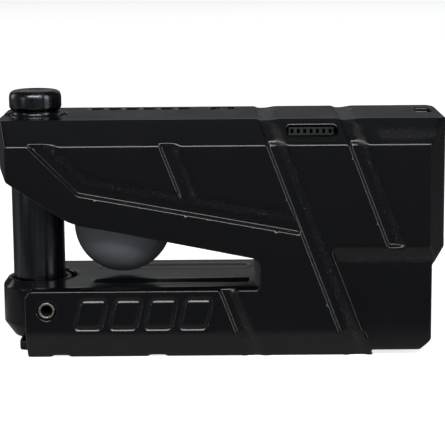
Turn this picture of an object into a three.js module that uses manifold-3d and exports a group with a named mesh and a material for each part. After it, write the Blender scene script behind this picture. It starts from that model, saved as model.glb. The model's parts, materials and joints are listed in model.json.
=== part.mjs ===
// Alarm disc brake lock for a motorcycle: a C-shaped steel body whose throat slides over the brake disc and
// is closed by an upright hardened bolt. Millimetres, +X to the closed end of the throat, +Y back, +Z up.
// Lengths run from a datum near the middle of the throat. The finished assembly is then moved along X, so that
// the origin is the centre of the underside of the whole lock.
import * as THREE from "three";
import { mergeVertices } from "three/addons/utils/BufferGeometryUtils.js";
import Module from "manifold-3d";

// ---- driving dimensions ----
const LEFT = -57.7;
const RIGHT = 56.7;
const RIGHT_HALF_DEPTH = 11.2; // the flat end, between its two upright bevels
const HALF_DEPTH = 19;
const TOP = 61.2;
const TOP_HALF_DEPTH = 14.4; // the flat top, between its two long bevels
const RIDGE = 55; // height where the upper bevels meet the sides
const LOWER_RIDGE = 6.7;
const FOOT_HALF_DEPTH = 14.6;
const GAP = 0.3; // clearance between two pieces that fit together

const THROAT_FLOOR = 18.8;
const THROAT_WALL = 9.5;
const THROAT_EDGE = { width: 1.7, drop: 0.6 }; // chamfer along both long edges of the throat's floor
const GUTTER = { left: -33, right: 7, middle: 9.75, halfWidth: 3.3, depth: 0.6 };

const BOLT = { x: -48.2, radius: 6.75, top: 67.5, tip: 6.5, travel: 37.5 };
const BOLT_BORE = BOLT.radius + GAP;
const BUSH_BORE = 8.1;
const BOSS = { radius: 9.5, top: 18.5, bottom: 3.1 };
const BOSS_PIN = { x: -44.8, z: 13.2, radius: 2.1, bore: 1.5 };

const BAR = { bottom: 50, top: 55, halfWidth: 4, stroke: 4 };
const BAR_MIDDLE = (BAR.bottom + BAR.top) / 2;
const PLUG = { x: 0, z: 48.1, radius: 4.75, shell: 6.8, innerEnd: 4.6 };
const CRANK_RADIUS = BAR.stroke / (2 * Math.sin(Math.PI / 4)); // a quarter turn moves the bar by its stroke

const NOSE = { x: -26, z: 32.5, radius: 12.7 };
const NOSE_BORE = { radius: NOSE.radius + GAP, top: 47.4 };
const NOSE_PIN = { z: 40.2, radius: 1.3 };

const BAY = { left: 14, right: 50, halfDepth: 13, bottom: 33, top: 58 };
const BATTERY = { radius: 7.8, left: 27.1, length: 27, z: 43.4 };
const COVER = { halfDepth: 10.4, bottom: 30.2, top: 57.2, seat: 54.3, face: 56.3 };
const COVER_SCREW = { radius: 1.3, head: 2.2, end: 50.6 };
const SOUND_SLOT = { left: 15.9, right: 28.9, bottom: 56.7, top: 59.4, inner: 13.2 };
const LENS = { x: 0.5, y: 9.6, radius: 3.4 };

const GROOVE_DEPTH = 0.9;
const TOP_GROOVE_DEPTH = 0.4;
const GROOVE_LEAN = 0.38; // how far the slanted grooves run in +X for each millimetre down
const LOWER_BLOCK_INSET = 2.2;

// ---- solids: shapes, joined and cut, then meshes ----
const wasm = await Module();
wasm.setup();

function toSolid(geometry) {
  geometry.deleteAttribute("normal");
  geometry.deleteAttribute("uv");
  const merged = mergeVertices(geometry, 1e-5);
  const vertProperties = new Float32Array(merged.attributes.position.array);
  const triVerts = new Uint32Array(merged.index.array);
  const solid = new wasm.Manifold(new wasm.Mesh({ numProp: 3, vertProperties, triVerts }));
  if (solid.volume() > 0) return solid;
  return new wasm.Manifold(new wasm.Mesh({ numProp: 3, vertProperties, triVerts: triVerts.reverse() }));
}

function toMesh(solid, name, material) {
  const { vertProperties, triVerts } = solid.getMesh();
  const geometry = new THREE.BufferGeometry();
  geometry.setAttribute("position", new THREE.BufferAttribute(vertProperties, 3));
  geometry.setIndex(new THREE.BufferAttribute(triVerts, 1));
  geometry.computeVertexNormals();
  const mesh = new THREE.Mesh(geometry, material);
  mesh.name = name;
  return mesh;
}

// Bases that lay a shape drawn in its own x, y flat in a plane of the lock, with its depth along the third axis.
const PLANES = {
  xy: [new THREE.Vector3(1, 0, 0), new THREE.Vector3(0, 1, 0), new THREE.Vector3(0, 0, 1)],
  yz: [new THREE.Vector3(0, 1, 0), new THREE.Vector3(0, 0, 1), new THREE.Vector3(1, 0, 0)],
  zx: [new THREE.Vector3(0, 0, 1), new THREE.Vector3(1, 0, 0), new THREE.Vector3(0, 1, 0)],
};

function prism(shape, plane, from, to, curveSegments = 8) {
  const geometry = new THREE.ExtrudeGeometry(shape, { depth: to - from, bevelEnabled: false, curveSegments });
  geometry.translate(0, 0, from);
  geometry.applyMatrix4(new THREE.Matrix4().makeBasis(...PLANES[plane]));
  return toSolid(geometry);
}

function polygon(points) {
  return new THREE.Shape(points.map(([a, b]) => new THREE.Vector2(a, b)));
}

// A side view outline, given as [x, z] points, pushed through the depth of the lock.
function sidePrism(points, from, to) {
  return prism(polygon(points.map(([x, z]) => [z, x])), "zx", from, to);
}

function box(x0, x1, y0, y1, z0, z1) {
  const geometry = new THREE.BoxGeometry(x1 - x0, y1 - y0, z1 - z0);
  geometry.translate((x0 + x1) / 2, (y0 + y1) / 2, (z0 + z1) / 2);
  return toSolid(geometry);
}

// A rod along one axis: at is its place on the other two axes, in the order x, y, z.
function rod(axis, radius, from, to, at, segments = 32) {
  const geometry = new THREE.CylinderGeometry(radius, radius, to - from, segments);
  const middle = (from + to) / 2;
  if (axis === "x") {
    geometry.rotateZ(-Math.PI / 2);
    geometry.translate(middle, at[0], at[1]);
  } else if (axis === "y") {
    geometry.translate(at[0], middle, at[1]);
  } else {
    geometry.rotateX(Math.PI / 2);
    geometry.translate(at[0], at[1], middle);
  }
  return toSolid(geometry);
}

// A turned piece about an upright axis, from [radius, height] points.
function turned(points, x, y, segments = 32) {
  const geometry = new THREE.LatheGeometry(points.map(([r, h]) => new THREE.Vector2(r, h)), segments);
  geometry.rotateX(Math.PI / 2);
  geometry.translate(x, y, 0);
  return toSolid(geometry);
}

function ring(axis, outer, inner, from, to, at, segments = 32) {
  const hole = rod(axis, inner, from - 1, to + 1, at, segments);
  return rod(axis, outer, from, to, at, segments).subtract(hole);
}

class Helix extends THREE.Curve {
  constructor(radius, length, turns) {
    super();
    Object.assign(this, { radius, length, turns });
  }

  getPoint(t) {
    const angle = 2 * Math.PI * this.turns * t;
    return new THREE.Vector3(this.radius * Math.cos(angle), this.radius * Math.sin(angle), this.length * t);
  }
}

function spring(radius, wire, length, turns) {
  const section = new THREE.Shape();
  section.absarc(0, 0, wire / 2, 0, 2 * Math.PI);
  const settings = {
    extrudePath: new Helix(radius, length - 2 * wire, turns),
    steps: Math.round(10 * turns),
    curveSegments: 3,
    bevelEnabled: false,
  };
  const geometry = new THREE.ExtrudeGeometry(section, settings);
  geometry.translate(0, 0, wire);
  return geometry;
}

// ---- materials ----
const paint = new THREE.MeshStandardMaterial({ color: 0x141517, roughness: 0.3, metalness: 0.2 });
const polishedSteel = new THREE.MeshStandardMaterial({ color: 0x8c8f94, roughness: 0.2, metalness: 1 });
const plainSteel = new THREE.MeshStandardMaterial({ color: 0xa3a5a8, roughness: 0.35, metalness: 1 });
const brass = new THREE.MeshStandardMaterial({ color: 0xb58b45, roughness: 0.35, metalness: 1 });
const greyRubber = new THREE.MeshStandardMaterial({ color: 0x5a6066, roughness: 0.7, metalness: 0 });
const blackRubber = new THREE.MeshStandardMaterial({ color: 0x101010, roughness: 0.85, metalness: 0 });
const blackPlastic = new THREE.MeshStandardMaterial({ color: 0x1b1c1e, roughness: 0.5, metalness: 0 });
const smokedLens = new THREE.MeshStandardMaterial({ color: 0x241012, roughness: 0.15, metalness: 0 });
const circuitGreen = new THREE.MeshStandardMaterial({ color: 0x14532d, roughness: 0.6, metalness: 0 });
const batteryWrap = new THREE.MeshStandardMaterial({ color: 0x38506e, roughness: 0.4, metalness: 0.1 });

// ---- the body ----
function bodyOutline() {
  const throatCurve = new THREE.QuadraticBezierCurve(
    new THREE.Vector2(-41.5, 37.5),
    new THREE.Vector2(-38, 34.7),
    new THREE.Vector2(-30.8, 34),
  );
  const blockSole = 1.5;
  return [
    [-50.3, 0],
    [35.3, 0],
    [36.8, blockSole],
    [50.4, blockSole],
    [53.1, 4.4],
    [53.1, 24],
    [RIGHT, 27.6],
    [RIGHT, TOP - 0.9],
    [RIGHT - 0.25, TOP - 0.25],
    [RIGHT - 0.9, TOP],
    [LEFT + 1.1, TOP],
    [LEFT + 0.7, 60.2],
    [LEFT, 52],
    [LEFT + 0.1, 50.2],
    [LEFT + 3.2, 46.2],
    ...throatCurve.getPoints(6).map((p) => [p.x, p.y]),
    [8, 26.2],
    [THROAT_WALL, 24.7],
    [THROAT_WALL, THROAT_FLOOR + 1],
    [THROAT_WALL - 1, THROAT_FLOOR],
    [-48.6, THROAT_FLOOR],
    [-50.3, 16.6],
  ];
}

function bodyBlank() {
  const plan = polygon([
    [LEFT, -3],
    [LEFT + 1.4, -12],
    [-54.2, -HALF_DEPTH],
    [52.3, -HALF_DEPTH],
    [RIGHT, -RIGHT_HALF_DEPTH],
    [RIGHT, RIGHT_HALF_DEPTH],
    [52.3, HALF_DEPTH],
    [-54.2, HALF_DEPTH],
    [LEFT + 1.4, 12],
    [LEFT, 3],
  ]);
  const section = polygon([
    [-FOOT_HALF_DEPTH, 0],
    [FOOT_HALF_DEPTH, 0],
    [HALF_DEPTH, LOWER_RIDGE],
    [HALF_DEPTH, RIDGE],
    [TOP_HALF_DEPTH, TOP],
    [-TOP_HALF_DEPTH, TOP],
    [-HALF_DEPTH, RIDGE],
    [-HALF_DEPTH, LOWER_RIDGE],
  ]);
  return sidePrism(bodyOutline(), -HALF_DEPTH, HALF_DEPTH)
    .intersect(prism(plan, "xy", 0, TOP))
    .intersect(prism(section, "yz", LEFT, RIGHT));
}

// A parallelogram that leans with the slanted grooves; x is where its left edge crosses the height z.
function leaningBand(x, z, width, top, bottom) {
  const along = (height) => x + (z - height) * GROOVE_LEAN;
  return [
    [along(top), top],
    [along(bottom), bottom],
    [along(bottom) + width, bottom],
    [along(top) + width, top],
  ];
}

// The styling grooves of one side, as cutters GROOVE_DEPTH deep; side is -1 for the front and 1 for the back.
function sideGrooves(side) {
  const face = side * HALF_DEPTH;
  const floor = side * (HALF_DEPTH - GROOVE_DEPTH);
  const [from, to] = side < 0 ? [face - 1, floor] : [floor, face + 1];
  const longGroove = [
    [-49.4, RIDGE + 1],
    [-36.3, 42.8],
    [19.6, 32.5],
    [18, 37.6],
    [-31, 46.6],
    [-34.6, 47.8],
    [-42.2, RIDGE + 1],
  ];
  const outlines = [
    longGroove,
    leaningBand(-15.6, RIDGE, 4.8, RIDGE + 1, 41.6),
    leaningBand(-0.8, 18, 4.3, THROAT_FLOOR + 1, LOWER_RIDGE - 1),
  ];
  return outlines.map((outline) => sidePrism(outline, from, to));
}

// A groove that runs up one side of the lock and on over the bevel, where it gets shallower.
function wrappingGroove(side, x, width, bottom) {
  const outline = leaningBand(x, RIDGE, width, TOP + 1, bottom);
  const slant = Math.hypot(HALF_DEPTH - TOP_HALF_DEPTH, TOP - RIDGE);
  const inY = (TOP_GROOVE_DEPTH * (TOP - RIDGE)) / slant;
  const inZ = (TOP_GROOVE_DEPTH * (HALF_DEPTH - TOP_HALF_DEPTH)) / slant;
  const far = HALF_DEPTH + 2;
  const skin = polygon([
    [side * (HALF_DEPTH - GROOVE_DEPTH), -1],
    [side * far, -1],
    [side * far, TOP + 1],
    [side * (TOP_HALF_DEPTH - 2.4), TOP + 1],
    [side * (TOP_HALF_DEPTH - 2.4), TOP - TOP_GROOVE_DEPTH],
    [side * (TOP_HALF_DEPTH - inY), TOP - inZ],
    [side * (HALF_DEPTH - GROOVE_DEPTH), RIDGE - inZ / 2],
  ]);
  const across = side < 0 ? [-far, -8] : [8, far];
  return sidePrism(outline, ...across).intersect(prism(skin, "yz", LEFT, RIGHT));
}

// The same groove where it crosses the flat top.
function topGroove(x, width) {
  const reach = TOP_HALF_DEPTH - 2;
  return sidePrism(leaningBand(x, RIDGE, width, TOP + 1, TOP - TOP_GROOVE_DEPTH), -reach, reach);
}

// The lower block behind the long slanted groove stands back from the side, below a bevelled step.
function lowerBlockStep(side) {
  const far = HALF_DEPTH + 2;
  const skin = polygon([
    [side * (HALF_DEPTH - LOWER_BLOCK_INSET), -1],
    [side * far, -1],
    [side * far, 29.6],
    [side * HALF_DEPTH, 29.2],
    [side * (HALF_DEPTH - LOWER_BLOCK_INSET), 25],
  ]);
  const outline = [
    [26.2, 29.8],
    [37.9, -1],
    [RIGHT + 1, -1],
    [RIGHT + 1, 29.8],
  ];
  const across = side < 0 ? [-far, -8] : [8, far];
  return sidePrism(outline, ...across).intersect(prism(skin, "yz", LEFT, RIGHT + 2));
}

function footNotches() {
  return [-41.7, -16.9, 8.2].map((x) => box(x - 2.2, x + 2.2, -HALF_DEPTH, HALF_DEPTH, -1, 0.5));
}

// The throat's floor has a chamfer along each long edge and a shallow gutter inside it.
function throatTrim(side) {
  const { width, drop } = THROAT_EDGE;
  const { left, right, middle, halfWidth, depth } = GUTTER;
  const slope = drop / width;
  const edge = polygon([
    [side * (HALF_DEPTH - width), THROAT_FLOOR],
    [side * (HALF_DEPTH - width), THROAT_FLOOR + 1],
    [side * (HALF_DEPTH + 1), THROAT_FLOOR + 1],
    [side * (HALF_DEPTH + 1), THROAT_FLOOR - drop - slope],
  ]);
  const lift = 0.1;
  const run = halfWidth * (1 + lift / depth);
  const gutter = polygon([
    [side * (middle - run), THROAT_FLOOR + lift],
    [side * middle, THROAT_FLOOR - depth],
    [side * (middle + run), THROAT_FLOOR + lift],
  ]);
  return [prism(edge, "yz", LEFT, THROAT_WALL - 0.6), prism(gutter, "yz", left, right)];
}

function lockBores() {
  const bolt = rod("z", BOLT_BORE, 36, TOP + 1, [BOLT.x, 0]);
  const bush = rod("z", BUSH_BORE, 55.2, TOP + 1, [BOLT.x, 0]);
  const boss = rod("z", BOSS.radius + GAP, BOSS.bottom - GAP, THROAT_FLOOR + 1, [BOLT.x, 0], 40);
  const halfChannel = BAR.halfWidth + GAP;
  const channel = box(-44, BAY.left + 1, -halfChannel, halfChannel, BAR.bottom - GAP, BAR.top + GAP);
  const cylinder = rod("y", PLUG.shell + GAP, BAR.halfWidth - 0.4, HALF_DEPTH + 1, [PLUG.x, PLUG.z]);
  const crank = rod("y", PLUG.radius + GAP, -3.2, BAR.halfWidth + 1, [PLUG.x, PLUG.z]);
  const cylinderScrew = rod("z", 1.55, 26, 42.5, [PLUG.x, 12], 16);
  const bossPins = [-1, 1].map((side) => {
    const [from, to] = side < 0 ? [-HALF_DEPTH - 1, -7] : [7, HALF_DEPTH + 1];
    return rod("y", BOSS_PIN.radius + GAP, from, to, [BOSS_PIN.x, BOSS_PIN.z], 20);
  });
  return [bolt, bush, boss, channel, cylinder, crank, cylinderScrew, ...bossPins];
}

function noseBores() {
  const nose = rod("z", NOSE_BORE.radius, 20, NOSE_BORE.top, [NOSE.x, 0], 40);
  const guidePin = rod("y", NOSE_PIN.radius + GAP, 8, HALF_DEPTH + 1, [NOSE.x, NOSE_PIN.z], 20);
  return [nose, guidePin];
}

function alarmBays() {
  const bay = box(BAY.left, BAY.right, -BAY.halfDepth, BAY.halfDepth, BAY.bottom, BAY.top);
  const mouth = box(BAY.right - 1, RIGHT + 1, -9.6, 9.6, 35, 52);
  const seat = box(
    COVER.seat - GAP, RIGHT + 1, -COVER.halfDepth - GAP, COVER.halfDepth + GAP,
    COVER.bottom - GAP, COVER.top + GAP,
  );
  const ledTunnel = box(-4, BAY.left + 1, 5.6, BAY.halfDepth, 56, 58.4);
  const lens = rod("z", LENS.radius + GAP, 58, TOP + 1, [LENS.x, LENS.y], 28);
  const screws = coverScrewPlaces().map(([y, z]) => {
    return rod("x", COVER_SCREW.radius + GAP, BAY.right - 1, COVER.seat, [y, z], 16);
  });
  const pocket = box(50.5, 54.5, -2, 8, TOP - 1.6, TOP + 1);
  return [bay, mouth, seat, ledTunnel, lens, pocket, ...screws, ...soundSlots()];
}

function soundSlots() {
  const { left, right, bottom, top, inner } = SOUND_SLOT;
  return [-1, 1].map((side) => {
    const [from, to] = side < 0 ? [-HALF_DEPTH - 1, -BAY.halfDepth + 1] : [BAY.halfDepth - 1, HALF_DEPTH + 1];
    const corner = 0.8;
    const outline = [
      [left + corner, bottom],
      [right - corner, bottom],
      [right, bottom + corner],
      [right, top - corner],
      [right - corner, top],
      [left + corner, top],
      [left, top - corner],
      [left, bottom + corner],
    ];
    const pocket = sidePrism(outline, side < 0 ? from : inner, side < 0 ? -inner : to);
    return pocket.add(box(left + 1, right - 1, from, to, bottom + 0.3, BAY.top));
  });
}

function coverScrewPlaces() {
  return [
    [0, 33.1],
    [0, 54.3],
  ];
}

function body() {
  let solid = bodyBlank();
  const cutters = [...footNotches(), ...lockBores(), ...noseBores(), ...alarmBays()];
  for (const side of [-1, 1]) {
    cutters.push(...sideGrooves(side));
    cutters.push(wrappingGroove(side, 11.3, 4.9, -1));
    cutters.push(wrappingGroove(side, 31.8, 4.6, 29));
    cutters.push(lowerBlockStep(side));
    cutters.push(...throatTrim(side));
  }
  cutters.push(topGroove(11.3, 4.9), topGroove(31.8, 4.6));
  for (const cutter of cutters) solid = solid.subtract(cutter);
  const lip = prism(polygon([[-53.2, -7], [-50, -8], [-50, 8], [-53.2, 7]]), "xy", 0, BOSS.bottom - GAP);
  return toMesh(solid.add(lip), "lock_body", paint);
}

// ---- the bolt and what it closes on ----
function bolt() {
  const r = BOLT.radius;
  const neck = 6.1;
  const grooveRoot = 4.4;
  const grooveHalf = 2.3;
  const lowGroove = BAR_MIDDLE - BOLT.travel;
  const profile = [
    [0, BOLT.tip],
    [r - 1.2, BOLT.tip],
    [r, BOLT.tip + 1.2],
    [r, lowGroove - grooveHalf],
    [grooveRoot, lowGroove - grooveHalf],
    [grooveRoot, lowGroove + grooveHalf],
    [r, lowGroove + grooveHalf],
    [r, BAR_MIDDLE - grooveHalf],
    [grooveRoot, BAR_MIDDLE - grooveHalf],
    [grooveRoot, BAR_MIDDLE + grooveHalf],
    [r, BAR_MIDDLE + grooveHalf],
    [r, TOP - 0.2],
    [neck, TOP + 0.3],
    [neck, TOP + 1.2],
    [r, TOP + 1.8],
    [r, BOLT.top - 1.4],
    [r - 0.4, BOLT.top - 0.4],
    [r - 1.4, BOLT.top],
    [r - 2.2, BOLT.top - 0.3],
    [0, BOLT.top - 0.6],
  ];
  return toMesh(turned(profile, BOLT.x, 0), "lock_bolt", polishedSteel);
}

function boltGuides() {
  const inner = BOLT_BORE;
  const outer = BUSH_BORE - GAP;
  return [
    toMesh(ring("z", outer, inner, 55.5, 58.9, [BOLT.x, 0]), "bolt_bush", brass),
    toMesh(ring("z", outer, inner, 59.2, TOP - 0.3, [BOLT.x, 0]), "bolt_wiper_seal", blackRubber),
  ];
}

function boss() {
  const { radius, top, bottom } = BOSS;
  const profile = [
    [2.4, bottom],
    [radius - 2.7, bottom],
    [radius, bottom + 3.8],
    [radius, top - 1.9],
    [BOLT_BORE + 1.1, top],
    [BOLT_BORE + 0.5, top],
    [BOLT_BORE, top - 0.5],
    [BOLT_BORE, BOLT.tip - GAP],
    [2.4, BOLT.tip - GAP],
    [2.4, bottom],
  ];
  let solid = turned(profile, BOLT.x, 0, 40);
  for (const side of [-1, 1]) {
    const [from, to] = side < 0 ? [-12, -7.6] : [7.6, 12];
    solid = solid.subtract(rod("y", BOSS_PIN.radius + GAP, from, to, [BOSS_PIN.x, BOSS_PIN.z], 20));
  }
  return toMesh(solid, "bolt_socket", plainSteel);
}

// Slit spring pins that hold the socket in the fork of the base, one from each side.
function bossPin(name, side) {
  const [from, to] = side < 0 ? [-HALF_DEPTH + 0.2, -7.9] : [7.9, HALF_DEPTH - 0.2];
  const { x, z, radius, bore } = BOSS_PIN;
  const slit = box(x, x + radius + 1, from - 1, to + 1, z + 0.3, z + 1);
  return toMesh(ring("y", radius, bore, from, to, [x, z], 24).subtract(slit), name, plainSteel);
}

// ---- the lock work ----
function lockingBar() {
  const { bottom, top, halfWidth } = BAR;
  const noseTip = BOLT.x + 8.7;
  const heel = 7;
  const blank = box(noseTip + 3, heel, -halfWidth, halfWidth, bottom, top);
  const nose = box(noseTip, noseTip + 4, -3.6, 3.6, BAR_MIDDLE - 1.9, BAR_MIDDLE + 1.9);
  const pin = crankPinPlace();
  const halfSlot = 1.2 + 0.4;
  const slot = box(pin.x - halfSlot, pin.x + halfSlot, -halfWidth - 1, halfWidth + 1, bottom - 1, 52.6);
  return toMesh(blank.add(nose).subtract(slot), "locking_bar", plainSteel);
}

// The crank pin starts an eighth of a turn to one side of upright and ends an eighth of a turn past it.
function crankPinPlace() {
  const angle = Math.PI / 4;
  return { x: PLUG.x + CRANK_RADIUS * Math.sin(angle), z: PLUG.z + CRANK_RADIUS * Math.cos(angle) };
}

function barSpring() {
  const geometry = spring(1.7, 0.5, 3.9, 3);
  geometry.rotateY(Math.PI / 2);
  geometry.translate(7.3, 0, BAR_MIDDLE);
  return toMesh(toSolid(geometry), "bar_spring", plainSteel);
}

function barPlug() {
  return toMesh(box(11.6, BAY.left - 0.2, -3.9, 3.9, BAR.bottom, BAR.top), "bar_channel_plug", plainSteel);
}

function cylinderShell() {
  const { x, z, shell, radius, innerEnd } = PLUG;
  const tube = ring("y", shell, radius + GAP, innerEnd, HALF_DEPTH - 0.4, [x, z]);
  const dimple = rod("z", 1.4, z - shell - 1, z - shell + 0.9, [x, 12], 16);
  return toMesh(tube.subtract(dimple), "key_cylinder_shell", plainSteel);
}

function keyPlug() {
  const { x, z, radius, innerEnd } = PLUG;
  const barrel = rod("y", radius, innerEnd, HALF_DEPTH - 0.8, [x, z]);
  const pin = crankPinPlace();
  const crank = rod("y", 1.2, -2.6, innerEnd + 1, [pin.x, pin.z], 16);
  const keyway = box(x - 0.9, x + 0.9, 9, HALF_DEPTH, z - 3.3, z + 3.3);
  return toMesh(barrel.add(crank).subtract(keyway), "key_plug", brass);
}

function cylinderScrew() {
  return toMesh(rod("z", 1.25, 31, 41.6, [PLUG.x, 12], 16), "cylinder_grub_screw", plainSteel);
}

// ---- the sprung nose that presses on the disc ----
function noseTip() {
  const { x, z, radius } = NOSE;
  const steps = 12;
  const profile = [];
  for (let i = 0; i <= steps; i += 1) {
    const angle = (i / steps) * (Math.PI / 2);
    profile.push([radius * Math.sin(angle), z - radius * Math.cos(angle)]);
  }
  profile.push([radius, 34.5], [9, 34.5], [9, 27], [0, 27]);
  return toMesh(turned(profile, x, 0, 40), "disc_nose", greyRubber);
}

// The core carries the nose and guides it: a slot in its tube rides on a pin fixed in the body.
function noseCore() {
  const base = 27.3;
  const seat = 33;
  const flange = 34.8;
  const top = 43;
  const outer = 12.4;
  const inner = 9.6;
  const springWell = 7.6;
  const profile = [
    [0, base],
    [8.7, base],
    [8.7, flange],
    [outer, flange],
    [outer, top],
    [inner, top],
    [inner, flange + 1.4],
    [springWell, flange + 1.4],
    [springWell, seat],
    [0, seat],
  ];
  const slot = box(NOSE.x - 1.6, NOSE.x + 1.6, inner - 1, outer + 1, flange - 0.1, top - 1.2);
  return toMesh(turned(profile, NOSE.x, 0).subtract(slot), "nose_core", blackPlastic);
}

function noseGuidePin() {
  return toMesh(rod("y", NOSE_PIN.radius, 9.9, 17.8, [NOSE.x, NOSE_PIN.z], 20), "nose_guide_pin", plainSteel);
}

function noseSpring() {
  const foot = 33.3;
  const geometry = spring(6.4, 1, NOSE_BORE.top - GAP - foot, 4);
  geometry.translate(NOSE.x, 0, foot);
  return toMesh(toSolid(geometry), "nose_spring", plainSteel);
}

// ---- the alarm ----
function sirenCase() {
  const [left, right] = [15, 21.6];
  const cup = rod("x", 11, left, right, [0, 44.6], 36);
  const hollow = rod("x", 9.6, left + 1.2, right + 1, [0, 44.6], 36);
  return toMesh(cup.subtract(hollow), "siren_case", blackPlastic);
}

function sirenDisc() {
  return toMesh(rod("x", 9.3, 19.6, 20.2, [0, 44.6], 36), "siren_disc", brass);
}

function battery() {
  const { radius, left, length, z } = BATTERY;
  const can = rod("x", radius, left + 1.2, left + length - 0.4, [0, z], 36);
  const button = rod("x", 2.8, left, left + 2, [0, z], 24);
  return toMesh(can.add(button), "battery", batteryWrap);
}

function batteryCradle() {
  const { radius, left, z } = BATTERY;
  const [from, to] = [left, BAY.right - 0.6];
  const block = box(from, to, -9.4, 9.4, BAY.bottom + 0.3, z - 1);
  const hollow = rod("x", radius + GAP, from - 1, to + 1, [0, z], 36);
  return toMesh(block.subtract(hollow), "battery_cradle", blackPlastic);
}

function contacts() {
  const { left, length, z } = BATTERY;
  const right = left + length;
  return [
    toMesh(box(left - 1, left - 0.4, -4, 4, z - 6, z + 6), "battery_contact_inner", brass),
    toMesh(box(right + 0.1, right + 0.5, -4, 4, z - 6, z + 6), "battery_contact_outer", brass),
  ];
}

function circuitBoard() {
  const board = box(15, 49, -12.4, 12.4, 56.3, 57.3);
  const tongue = box(-3.4, 16, 6, 12.4, 56.3, 57.3);
  return toMesh(board.add(tongue), "circuit_board", circuitGreen);
}

function statusLight() {
  const chip = box(LENS.x - 1.2, LENS.x + 1.2, LENS.y - 1, LENS.y + 1, 57.6, 58.3);
  const lens = rod("z", LENS.radius, 58.7, TOP - 0.2, [LENS.x, LENS.y], 28);
  return [toMesh(chip, "status_led", brass), toMesh(lens, "status_lens", smokedLens)];
}

function boardChips() {
  return [
    toMesh(box(30, 36, -8, -2, 55.1, 56), "control_chip", blackPlastic),
    toMesh(box(40, 43, 3, 6, 54.8, 56), "motion_sensor", blackPlastic),
  ];
}

function grille(name, side) {
  const { left, right, bottom, top, inner } = SOUND_SLOT;
  const [from, to] = side < 0 ? [-inner - 1.4, -inner - GAP] : [inner + GAP, inner + 1.4];
  let solid = box(left + 0.9, right - 0.9, from, to, bottom + 0.35, top - 0.35);
  const openings = 7;
  const pitch = (right - left - 1.8) / openings;
  for (let i = 0; i < openings; i += 1) {
    const x = left + 0.9 + pitch * (i + 0.5);
    solid = solid.subtract(box(x - 0.4, x + 0.4, from - 1, to + 1, bottom + 0.8, top - 0.8));
  }
  return toMesh(solid, name, blackPlastic);
}

function endCover() {
  const { halfDepth, bottom, top, seat, face } = COVER;
  const corner = 2;
  const outline = polygon([
    [-halfDepth + corner, bottom],
    [halfDepth - corner, bottom],
    [halfDepth, bottom + corner],
    [halfDepth, top - corner],
    [halfDepth - corner, top],
    [-halfDepth + corner, top],
    [-halfDepth, top - corner],
    [-halfDepth, bottom + corner],
  ]);
  let solid = prism(outline, "yz", seat + 0.4, face);
  for (const place of coverScrewPlaces()) {
    const shank = rod("x", COVER_SCREW.radius + GAP, seat - 1, face + 1, place, 20);
    const recess = rod("x", COVER_SCREW.head + GAP, face - 0.9, face + 1.5, place, 20);
    solid = solid.subtract(shank.add(recess));
  }
  return toMesh(solid, "end_cover", blackPlastic);
}

function coverScrew(name, [y, z]) {
  const { radius, head, end } = COVER_SCREW;
  const shank = rod("x", radius, end, COVER.face - 0.4, [y, z], 16);
  const cap = rod("x", head, COVER.face - 0.6, COVER.face, [y, z], 20);
  const drive = rod("x", 1.1, COVER.face - 0.5, COVER.face + 1, [y, z], 6);
  return toMesh(shank.add(cap).subtract(drive), name, plainSteel);
}

// ---- the assembly ----
const lock = new THREE.Group();
lock.add(body(), bolt(), ...boltGuides(), boss());
lock.add(bossPin("socket_pin_front", -1), bossPin("socket_pin_rear", 1));
lock.add(lockingBar(), barSpring(), barPlug(), cylinderShell(), keyPlug(), cylinderScrew());
lock.add(noseTip(), noseCore(), noseGuidePin(), noseSpring());
lock.add(sirenCase(), sirenDisc(), battery(), batteryCradle(), ...contacts());
lock.add(circuitBoard(), ...statusLight(), ...boardChips());
lock.add(grille("sound_grille_front", -1), grille("sound_grille_rear", 1));
lock.add(endCover());
coverScrewPlaces().forEach((place, i) => lock.add(coverScrew(`end_cover_screw_${i + 1}`, place)));
lock.position.x = -(LEFT + RIGHT) / 2;

export default lock;
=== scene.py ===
"""An alarm disc brake lock: its looks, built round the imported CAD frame.

Lengths are millimetres until a mesh, a lamp or the camera is made. +X runs from the bolt to the closed end.
"""

import json
import math

import bmesh
import bpy
import numpy as np
import openvdb as vdb
from mathutils import Matrix, Vector


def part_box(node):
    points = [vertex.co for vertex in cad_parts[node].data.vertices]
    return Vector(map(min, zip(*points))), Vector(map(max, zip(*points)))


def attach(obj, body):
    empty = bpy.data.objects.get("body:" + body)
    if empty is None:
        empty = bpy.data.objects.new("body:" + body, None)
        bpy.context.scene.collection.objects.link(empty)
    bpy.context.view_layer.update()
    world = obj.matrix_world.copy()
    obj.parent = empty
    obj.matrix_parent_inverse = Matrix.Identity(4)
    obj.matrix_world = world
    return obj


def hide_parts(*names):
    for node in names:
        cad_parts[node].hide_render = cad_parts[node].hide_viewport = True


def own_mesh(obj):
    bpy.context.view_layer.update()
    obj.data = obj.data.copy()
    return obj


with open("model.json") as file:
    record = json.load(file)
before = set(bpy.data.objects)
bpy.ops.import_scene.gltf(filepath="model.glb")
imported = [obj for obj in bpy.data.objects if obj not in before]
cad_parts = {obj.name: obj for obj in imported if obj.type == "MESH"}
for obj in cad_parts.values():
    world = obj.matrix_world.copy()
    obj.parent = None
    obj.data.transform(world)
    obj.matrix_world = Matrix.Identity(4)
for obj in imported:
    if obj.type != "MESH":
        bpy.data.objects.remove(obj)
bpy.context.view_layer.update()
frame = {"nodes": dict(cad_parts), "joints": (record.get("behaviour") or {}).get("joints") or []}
NODES = frame["nodes"]
MM = 0.001


def box_mm(node):
    """Lowest and highest corner of a CAD node, in millimetres."""
    low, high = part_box(node)
    return np.array(low) / MM, np.array(high) / MM


def travel_mm(joint):
    """How far a sliding joint of the CAD can move, in millimetres."""
    return next(j for j in frame["joints"] if j["name"] == joint)["range_m"][1] / MM


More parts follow.
